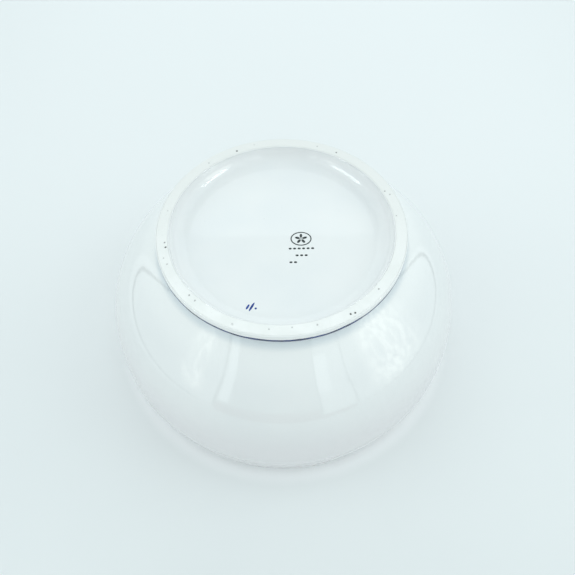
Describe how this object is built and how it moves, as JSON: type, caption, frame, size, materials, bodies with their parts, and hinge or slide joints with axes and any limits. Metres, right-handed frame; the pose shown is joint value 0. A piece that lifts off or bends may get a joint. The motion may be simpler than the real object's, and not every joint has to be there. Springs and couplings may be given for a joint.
{
  "type": "serving bowl",
  "caption": "Round footed serving bowl in white glazed porcelain, standing on its mouth, with a turned foot ring, a blue foot line and marks in the foot recess.",
  "frame": {"origin": "centre of the circle that the lip stands on, with the bowl mouth down", "axes": "+Z is the bowl's turning axis, from the mouth up through the foot; the printed mark reads upright with +Y up, seen from +Z"},
  "size_m": [0.1624, 0.1624, 0.0795],
  "materials": {
    "biscuit": "bare, fine-grained, matt",
    "slip": "bare, matt",
    "glaze": "clear gloss over cool white",
    "cobalt": "brushed cobalt under gloss",
    "print": "thin print under gloss"
  },
  "bodies": {
    "root": {"bowl_body": "biscuit", "foot_joint": "slip", "foot_ring": "biscuit", "outer_glaze": "glaze", "inner_glaze": "glaze", "recess_glaze": "glaze", "foot_line": "cobalt", "back_stamp": "print", "painter_mark": "cobalt"}
  },
  "joints": []
}
